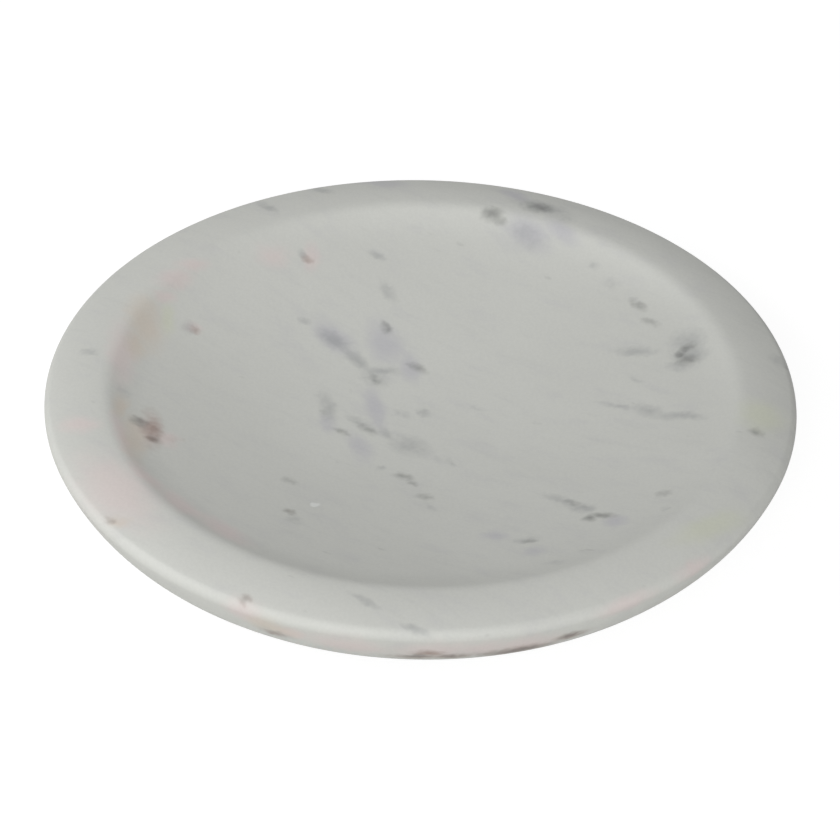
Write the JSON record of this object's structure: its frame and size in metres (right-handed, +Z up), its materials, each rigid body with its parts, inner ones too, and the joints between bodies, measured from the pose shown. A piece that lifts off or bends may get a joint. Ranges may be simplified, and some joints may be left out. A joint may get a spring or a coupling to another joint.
{
  "type": "marble bowl",
  "caption": "Shallow round marble dish with a broad, softly rolled rim, a thick wall that curves in to a flat base, and stick-on felt pads underneath.",
  "frame": {"origin": "centre of the felt pads' undersides, on the table under the middle of the dish", "axes": "+Z up along the axis the dish was turned on; +Y away from the viewer of the picture, +X to the right"},
  "size_m": [0.3, 0.3, 0.0393],
  "materials": {
    "marble": "honed, with fine grey and brown flecks",
    "felt": "pressed wool felt",
    "adhesive": "pale acrylic adhesive film"
  },
  "bodies": {
    "root": {"marble_bowl": "marble", "felt_pad_1": "felt", "felt_pad_2": "felt", "felt_pad_3": "felt", "felt_pad_4": "felt", "adhesive_disc_1": "adhesive", "adhesive_disc_2": "adhesive", "adhesive_disc_3": "adhesive", "adhesive_disc_4": "adhesive"}
  },
  "joints": []
}
